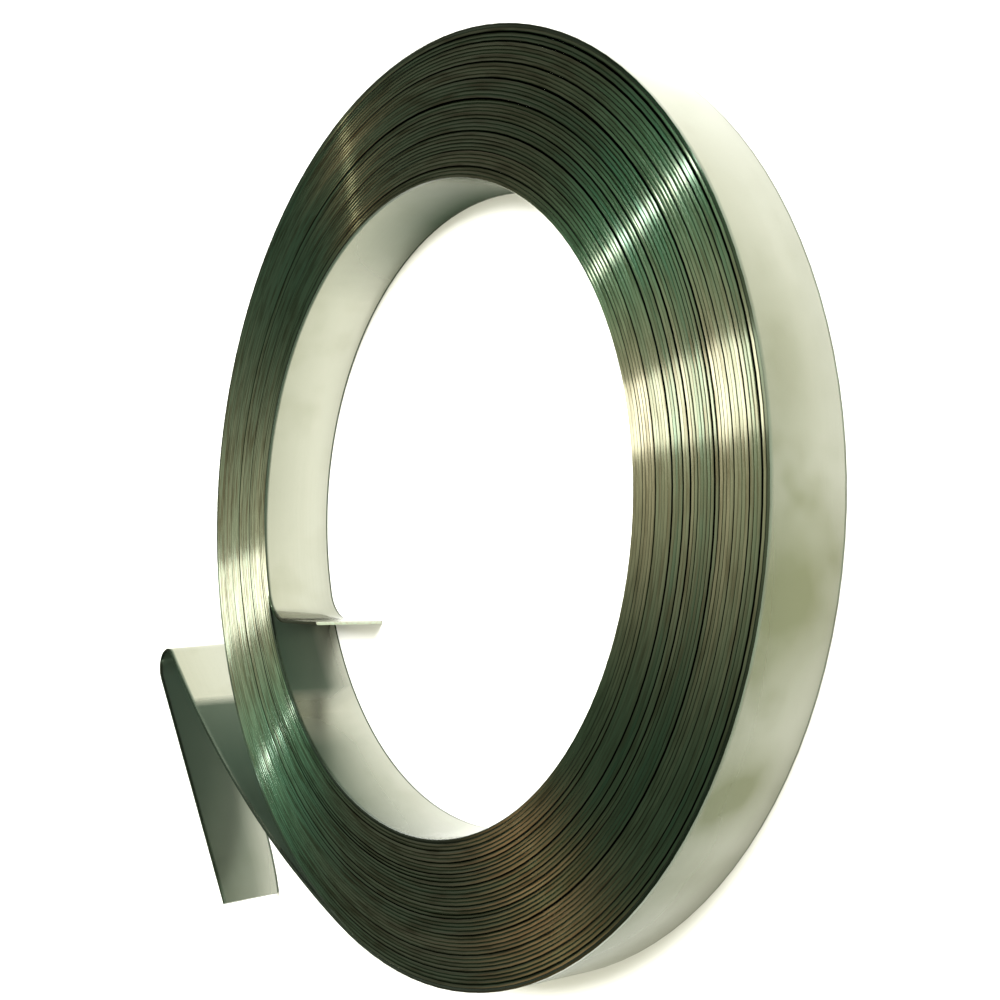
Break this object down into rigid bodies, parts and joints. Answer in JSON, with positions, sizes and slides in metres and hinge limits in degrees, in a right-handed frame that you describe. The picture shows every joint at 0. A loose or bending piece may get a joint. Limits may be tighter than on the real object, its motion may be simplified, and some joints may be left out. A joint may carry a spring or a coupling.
{
  "type": "roll of steel strapping band",
  "caption": "Flat roll of bright steel strapping band lying on its end, with the outer end folded back beside it and the inner end bent into the bore.",
  "frame": {"origin": "on the roll's axis, at the end that lies on the floor", "axes": "+Z along the roll's axis, upwards; seen from above with +Y up the page, the roll looks as it does in the picture, with its folded outer end towards -X"},
  "size_m": [0.2397, 0.2067, 0.019],
  "materials": {
    "bright_steel": "bright rolled steel, satin faces and sheared edges"
  },
  "bodies": {
    "root": {"strapping_band": "bright_steel"}
  },
  "joints": []
}
